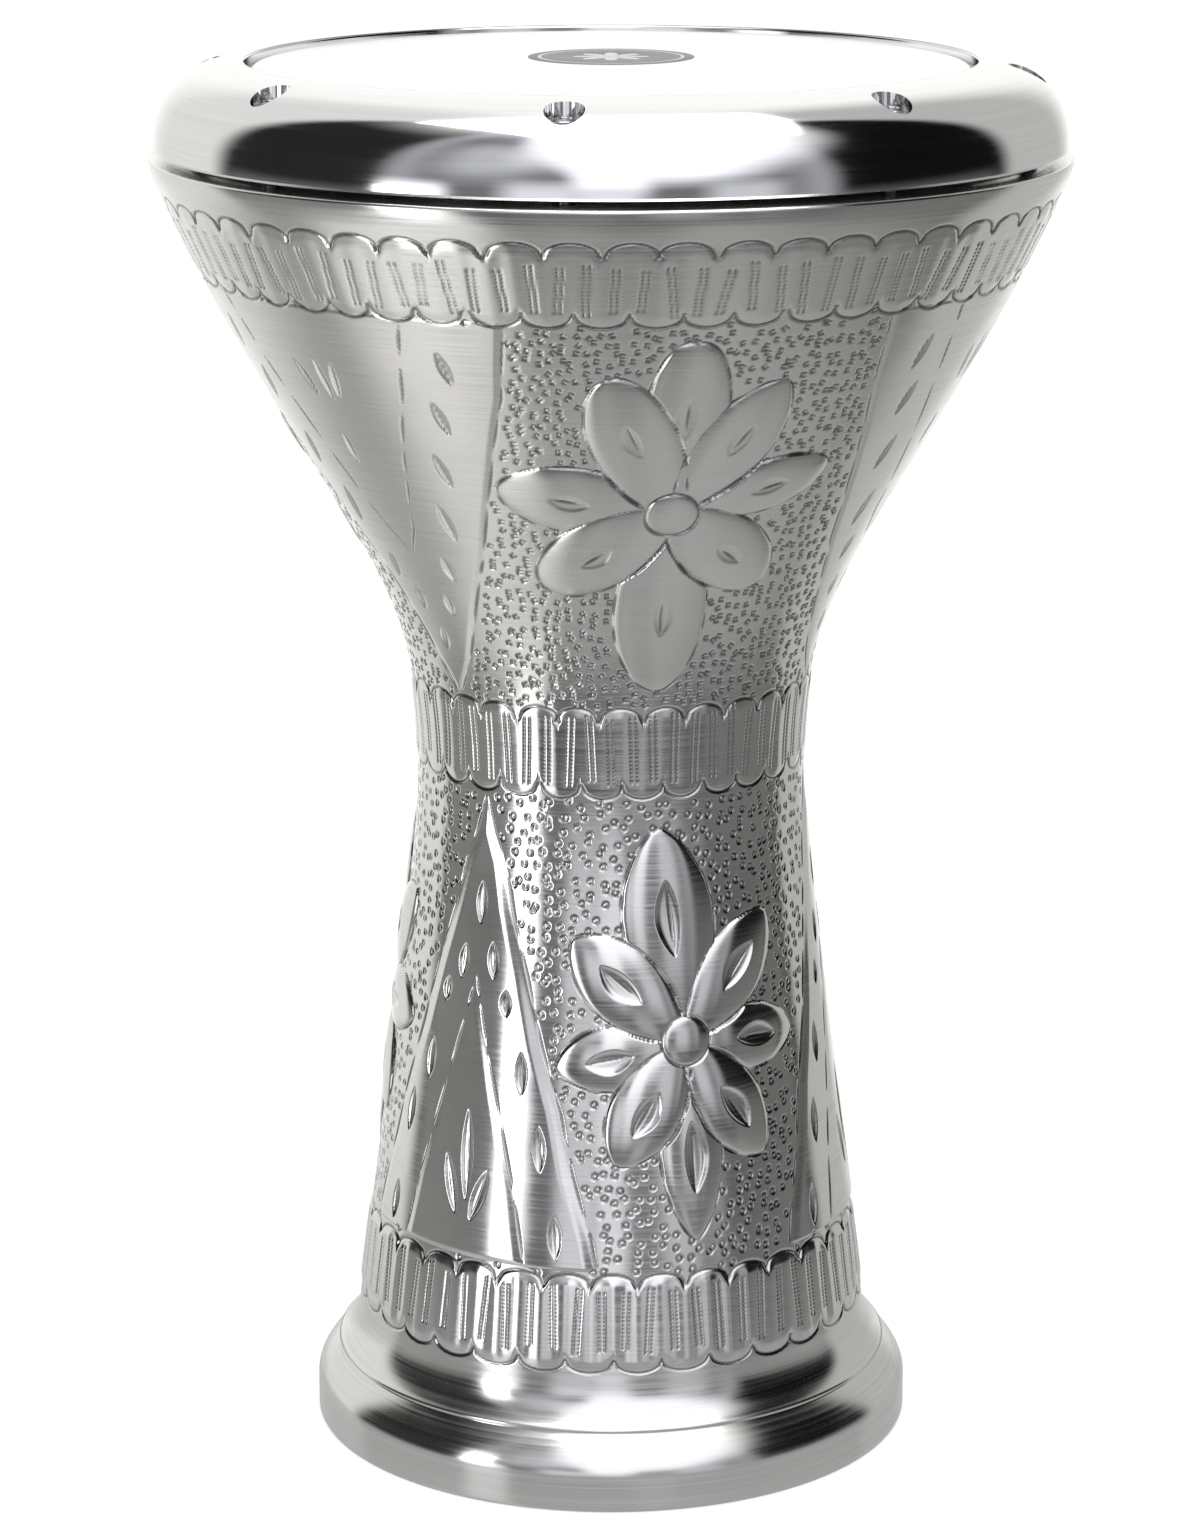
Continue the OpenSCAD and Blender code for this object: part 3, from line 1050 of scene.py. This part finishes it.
class Shader(Nodes):
    """A node material round one principled shader."""

    def __init__(self, name, **values):
        self.material = bpy.data.materials.new(name)
        self.material.use_nodes = True
        super().__init__(self.material.node_tree)
        self.shader = self.tree.nodes["Principled BSDF"]
        self.place = self.node("ShaderNodeTexCoord").outputs["Object"]
        self.set(**values)

    def set(self, **values):
        """Values for the shader's inputs, where an underscore stands for a space."""
        for key, value in values.items():
            self.give(self.shader.inputs[key.replace("_", " ")], value)

    def noise(self, scale, detail=4.0):
        """Noise with a scale along each axis, for places in metres."""
        place = self.node("ShaderNodeMapping", {"Vector": self.place, "Scale": scale}).outputs["Vector"]
        sockets = {"Vector": place, "Scale": 1.0, "Detail": detail, "Roughness": 0.55}
        return self.node("ShaderNodeTexNoise", sockets).outputs["Fac"]

    def ramp(self, value, dark, pale):
        """A noise turned into colours between dark and pale."""
        ramp = self.node("ShaderNodeValToRGB", {"Fac": value})
        for element, position, colour in zip(ramp.color_ramp.elements, (0.3, 0.7), (dark, pale)):
            element.position = position
            element.color = (*colour, 1.0)
        return ramp.outputs["Color"]

    def bump(self, height, distance, strength=0.4):
        sockets = {"Height": height, "Distance": distance, "Strength": strength}
        self.set(Normal=self.node("ShaderNodeBump", sockets).outputs["Normal"])


# ---------------------------------------------------------------- materials

def turned_aluminium():
    """Cast aluminium, turned and brushed round the axis, with painted shade that makes it darker where it is
    cut.
    """
    s = Shader("shell_aluminium", Metallic=1.0, Anisotropic=0.75, Anisotropic_Rotation=0.25)
    s.set(Tangent=s.node("ShaderNodeTangent", direction_type="RADIAL", axis="Z").outputs["Tangent"])
    streaks = s.noise((5, 5, 1500))
    cloud = s.noise((30, 30, 30), 3.0)
    satin = s.ranged(s.split(s.place)["Z"], 0.17, 0.24, 0.2, 0.26)
    roughness = s.maths("ADD", satin, s.ranged(streaks, -0.05, 0.07))
    s.set(Roughness=s.maths("ADD", roughness, s.ranged(cloud, -0.03, 0.04)))
    cut = s.node("ShaderNodeAttribute", attribute_name="cut", attribute_type="GEOMETRY").outputs["Fac"]
    grain = s.ramp(streaks, (0.80, 0.79, 0.77), (0.90, 0.895, 0.885))
    # Painted shade: the base colour goes dark in the cut grooves, where shade falls.
    s.set(Base_Color=s.mix_colours(s.product(cut, 0.8), grain, (0.16, 0.155, 0.15, 1.0)))
    s.bump(streaks, 0.00003, 0.5)
    return s.material


def polished_aluminium():
    """Mirror polish with faint turning lines and a few soft smears."""
    s = Shader("ring_aluminium", Metallic=1.0)
    lines = s.noise((6, 6, 900))
    smears = s.noise((22, 22, 22))
    s.set(Base_Color=s.ramp(lines, (0.86, 0.86, 0.865), (0.93, 0.93, 0.935)))
    s.set(Roughness=s.maths("ADD", s.ranged(lines, 0.04, 0.09), s.ranged(smears, 0.0, 0.05)))
    s.bump(lines, 0.00001)
    return s.material


def white_film():
    """Opaque white film with a faint orange-peel gloss and scuffs from playing."""
    s = Shader("film_white", IOR=1.5)
    scuffs = s.noise((18, 18, 18), 5.0)
    s.set(Base_Color=s.ramp(scuffs, (0.88, 0.88, 0.875), (0.93, 0.93, 0.93)))
    s.set(Roughness=s.ranged(scuffs, 0.3, 0.4))
    s.bump(s.noise((700, 700, 700), 2.0), 0.00002, 0.3)
    return s.material


def printed_badge():
    """Dark grey print with a pale border and a plain eight-leaved rosette."""
    s = Shader("badge_grey", Roughness=0.55)
    x, y, _ = s.split(s.place)
    x = s.maths("SUBTRACT", x, BADGE_CENTRE[0] * MM)
    y = s.maths("SUBTRACT", y, BADGE_CENTRE[1] * MM)
    share = s.maths("DIVIDE", s.from_axis(x, y), BADGE_R * MM)
    leaves = s.maths("ABSOLUTE", s.maths("COSINE", s.product(s.maths("ARCTAN2", y, x), 4.0)))
    leaf_shape = s.maths("LESS_THAN", share, s.maths("ADD", s.product(leaves, 0.3), 0.16))
    border = s.maths("COMPARE", share, 0.86, 0.018)
    speckle = s.noise((900, 900, 900), 2.0)
    ink = s.ramp(speckle, (0.21, 0.21, 0.215), (0.25, 0.25, 0.255))
    s.set(Base_Color=s.mix_colours(s.maths("MAXIMUM", leaf_shape, border), ink, (0.7, 0.7, 0.7, 1.0)))
    s.bump(speckle, 0.00001)
    return s.material


def metal(name, dark, pale, roughness, scale):
    """A plain worked metal with streaks."""
    s = Shader(name, Metallic=1.0)
    streaks = s.noise(scale)
    s.set(Base_Color=s.ramp(streaks, dark, pale), Roughness=s.ranged(streaks, *roughness))
    s.bump(streaks, 0.00002)
    return s.material


def epoxy():
    s = Shader("hoop_resin", Roughness=0.3)
    cloud = s.noise((60, 60, 60))
    s.set(Base_Color=s.ramp(cloud, (0.55, 0.5, 0.34), (0.68, 0.63, 0.47)))
    s.bump(cloud, 0.0002)
    return s.material


def paint(piece, material):
    piece.data.materials.clear()
    piece.data.materials.append(material)


def paint_node(node, material):
    """A better material on a CAD node that stays."""
    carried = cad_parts[node]
    if not carried.material_slots:
        carried.data.materials.append(None)
    for slot in carried.material_slots:
        slot.link = "OBJECT"
        slot.material = material


# ---------------------------------------------------------------- stage, light and camera

CAMERA_DISTANCE = 1.356
CAMERA_HEIGHT = 0.557
CAMERA_PITCH = 14.4
CAMERA_SHIFT = -0.0072
FOCAL_OVER_HEIGHT = 4500 / 1535
SENSOR = 36.0


def camera():
    data = bpy.data.cameras.new("camera")
    data.sensor_fit = "VERTICAL"
    data.sensor_height = SENSOR
    data.sensor_width = SENSOR
    data.lens = FOCAL_OVER_HEIGHT * SENSOR
    data.shift_x = CAMERA_SHIFT
    data.clip_start = 0.05
    holder = bpy.data.objects.new("camera", data)
    holder.location = (0.0, -CAMERA_DISTANCE, CAMERA_HEIGHT)
    holder.rotation_euler = (math.radians(90 - CAMERA_PITCH), 0.0, 0.0)
    bpy.context.scene.collection.objects.link(holder)
    bpy.context.scene.camera = holder


FLOOR_HALF = 12.0
FLOOR_GLOW = 0.42
# Painted reflection of the floor in the metal: how much of it shows beside the foot, how bright its grey
# glow is, and how far out it ends
MIRRORED_NEAR = 0.85
MIRRORED_LEVEL = 0.45
MIRRORED_REACH = 0.42
WHITE = (1.0, 1.0, 1.0, 1.0)


def floor():
    """A pale sheet under the drum; the metal mirrors only a painted reflection of it, a grey glowing patch
    round the foot.
    """
    mesh = bpy.data.meshes.new("floor")
    corners = [(FLOOR_HALF * x, FLOOR_HALF * y, 0.0) for x, y in ((-1, -1), (1, -1), (1, 1), (-1, 1))]
    mesh.from_pydata(corners, [], [(0, 1, 2, 3)])
    piece = add_object("floor", mesh)
    s = Shader("floor_paper", Roughness=0.9, Emission_Strength=FLOOR_GLOW, Emission_Color=WHITE)
    s.set(Base_Color=s.ramp(s.noise((3, 3, 3), 2.0), (0.87, 0.87, 0.865), (0.89, 0.89, 0.885)))
    x, y, _ = s.split(s.place)
    unseen = s.ranged(s.from_axis(x, y), 1 - MIRRORED_NEAR, 1.0, FOOT_R * MM, MIRRORED_REACH)
    grey = (MIRRORED_LEVEL, MIRRORED_LEVEL, MIRRORED_LEVEL, 1.0)
    # Painted reflection: glossy rays see a grey glow near the foot that fades to clear further out.
    painted_reflection = s.node("ShaderNodeEmission", {"Color": grey}).outputs["Emission"]
    clear = s.node("ShaderNodeBsdfTransparent").outputs["BSDF"]
    in_metal = s.node("ShaderNodeLightPath").outputs["Is Glossy Ray"]
    sheet = s.mix_shaders(in_metal, s.shader.outputs["BSDF"], s.mix_shaders(unseen, painted_reflection, clear))
    s.give(s.tree.nodes["Material Output"].inputs["Surface"], sheet)
    paint(piece, s.material)


# Panels of light and dark round the drum, painted on the surroundings: from and to direction,
# from and to elevation (degrees), brightness, softness of the side and of the level edges
PANELS = [
    (-112, -56, -120, 64, 0.02, 11, 28),
    (56, 114, -120, 70, 0.005, 9, 20),
    (-108, -56, -120, -3, 0.24, 9, 9),
    (56, 109, -120, -3, 0.17, 9, 9),
    (-54, 50, -120, 64, 0.17, 22, 22),
    (-44, -22, 12, 50, 0.55, 20, 24),
    (-27, -7, 24, 62, 0.85, 12, 24),
    (-26, -8, -12, 8, 0.85, 10, 14),
    (24, 42, -14, 8, 0.65, 10, 12),
    (-9, 9, 2, 95, 1.3, 8, 14),
    (-7, 7, -120, 2, 1.0, 8, 14),
    (-46, 58, -120, -11, 0.08, 10, 12),
    (9, 25, -30, -12, 0.42, 10, 10),
    (-58, -41, -120, 5, 1.5, 7, 9),
]
# Under the horizon, on the sheet that the drum stands on, the levels are more even
LOW_PANELS = [
    (-200, 200, -120, -46, 0.26, 7, 18),
    (-200, -104, -120, -30, 0.4, 20, 22),
    (-100, -64, -120, -40, 1.0, 12, 22),
    (-60, -40, -64, -40, 0.9, 10, 14),
    (-24, -6, -120, -46, 0.34, 12, 22),
    (26, 66, -120, -46, 0.4, 16, 22),
    (70, 150, -120, -44, 0.33, 20, 22),
]
# Brightness on the left, on the right and behind the drum, and of the white sheet overhead
BACK_LEFT, BACK_RIGHT, BACKDROP, OVERHEAD = 0.78, 0.5, 1.05, 1.25
# Where the backdrop and each side of the sheet begin, and how softly (degrees)
BEHIND = (157, 24)
SHEET_RIGHT, SHEET_LEFT, SHEET_CROWN, SHEET_LOW = (-19, 30), (-2, 24), (71, 18), (10, 16)
COOL, WARM = (0.965, 0.975, 1.03, 1.0), (1.0, 0.995, 0.97, 1.0)


def studio_world():
    """Surroundings that the polished metal mirrors; the picture's own background is white."""
    world = bpy.data.worlds.new("studio")
    world.use_nodes = True
    bpy.context.scene.world = world
    n = Nodes(world.node_tree)
    n.tree.nodes.clear()
    x, y, z = n.split(n.node("ShaderNodeTexCoord").outputs["Generated"])
    turn = n.maths("DEGREES", n.maths("ARCTAN2", x, n.product(y, -1.0)))
    aside = n.maths("ABSOLUTE", turn)
    rise = n.maths("DEGREES", n.maths("ARCSINE", z))

    level = n.towards(BACK_LEFT, n.edge(turn, 0, 60), BACK_RIGHT)
    level = n.towards(level, n.edge(aside, *BEHIND), BACKDROP)
    for turn_from, turn_to, rise_from, rise_to, value, side, sill in PANELS + LOW_PANELS:
        across = n.product(n.edge(turn, turn_from, side), n.edge(turn, turn_to, -side))
        mask = n.product(across, n.edge(rise, rise_from, sill), n.edge(rise, rise_to, -sill))
        level = n.towards(level, mask, value)
    right = n.edge(n.maths("SUBTRACT", rise, turn), *SHEET_RIGHT)
    left = n.edge(n.maths("ADD", rise, n.product(turn, 2.0)), *SHEET_LEFT)
    left = n.maths("MAXIMUM", left, n.edge(rise, *SHEET_CROWN))
    level = n.towards(level, n.product(right, left, n.edge(rise, *SHEET_LOW)), OVERHEAD)
    front = n.product(n.edge(aside, 62, -20), n.edge(rise, -22, 20))

    lit = n.node("ShaderNodeBackground", {"Color": n.mix_colours(front, WARM, COOL), "Strength": level})
    seen = n.node("ShaderNodeBackground", {"Color": WHITE})
    in_picture = n.node("ShaderNodeLightPath").outputs["Is Camera Ray"]
    both = n.mix_shaders(in_picture, lit.outputs["Background"], seen.outputs["Background"])
    n.node("ShaderNodeOutputWorld", {"Surface": both})


def softbox(name, location, target, size, power):
    data = bpy.data.lights.new(name, "AREA")
    data.shape = "RECTANGLE"
    data.size, data.size_y = size
    data.energy = power
    lamp = bpy.data.objects.new(name, data)
    lamp.location = location
    lamp.rotation_euler = (Vector(target) - Vector(location)).to_track_quat("-Z", "Y").to_euler()
    bpy.context.scene.collection.objects.link(lamp)


STRIP_TURN = math.radians(-49)
STRIP_REACH = 0.85


def lights():
    spot = (STRIP_REACH * math.sin(STRIP_TURN), -STRIP_REACH * math.cos(STRIP_TURN), 0.2)
    softbox("strip_left", spot, (0, 0, 0.2), (0.17, 0.46), 0.55)
    softbox("overhead", (0.1, -0.2, 2.2), (0, 0, 0.4), (1.6, 1.6), 20.0)


# ---------------------------------------------------------------- assembly

def dress():
    """Makes every piece, paints it, and puts it on its body."""
    shell_metal = turned_aluminium()
    film_plastic = white_film()
    screw_steel = metal("screw_steel", (0.30, 0.30, 0.31), (0.42, 0.42, 0.43), (0.18, 0.34), (400, 400, 400))
    washer_steel = metal("washer_steel", (0.55, 0.55, 0.56), (0.7, 0.7, 0.71), (0.2, 0.4), (300, 300, 300))
    hoop_metal = metal("hoop_aluminium", (0.7, 0.7, 0.71), (0.82, 0.82, 0.83), (0.25, 0.4), (8, 8, 900))

    def finish_piece(piece, material, slot, body, *nodes):
        paint(piece, material)
        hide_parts(*nodes)
        if body:
            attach(piece, body)
        return piece

    finish_piece(goblet(), shell_metal, "shell_aluminium", "shell", "shell")
    finish_piece(head_seat(), shell_metal, "shell_aluminium", "shell", "shell")
    finish_piece(clamp_ring(), polished_aluminium(), "ring_aluminium", "tuning_ring", "tuning_ring")
    finish_piece(film(), film_plastic, "film_white", "shell", "head_film")
    finish_piece(badge(), printed_badge(), "badge_grey", "shell", "head_badge")
    stretch = finish_piece(skirt(), film_plastic, "film_white", None, "head_skirt")
    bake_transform(stretch)
    for name, (x, y) in zip(SCREW_NAMES, screw_axes()):
        low, high = cad_box_mm(name)
        screw = screw_mesh(name.replace("tuning_bolt", "screw"), x, y, low[2], high[2])
        finish_piece(screw, screw_steel, "screw_steel", name, name)
    for name in WASHER_NAMES:
        paint_node(name, washer_steel)
    paint_node("head_hoop", hoop_metal)
    paint_node("hoop_resin", epoxy())


camera()
floor()
studio_world()
lights()
dress()
bpy.context.scene.view_settings.view_transform = "Standard"
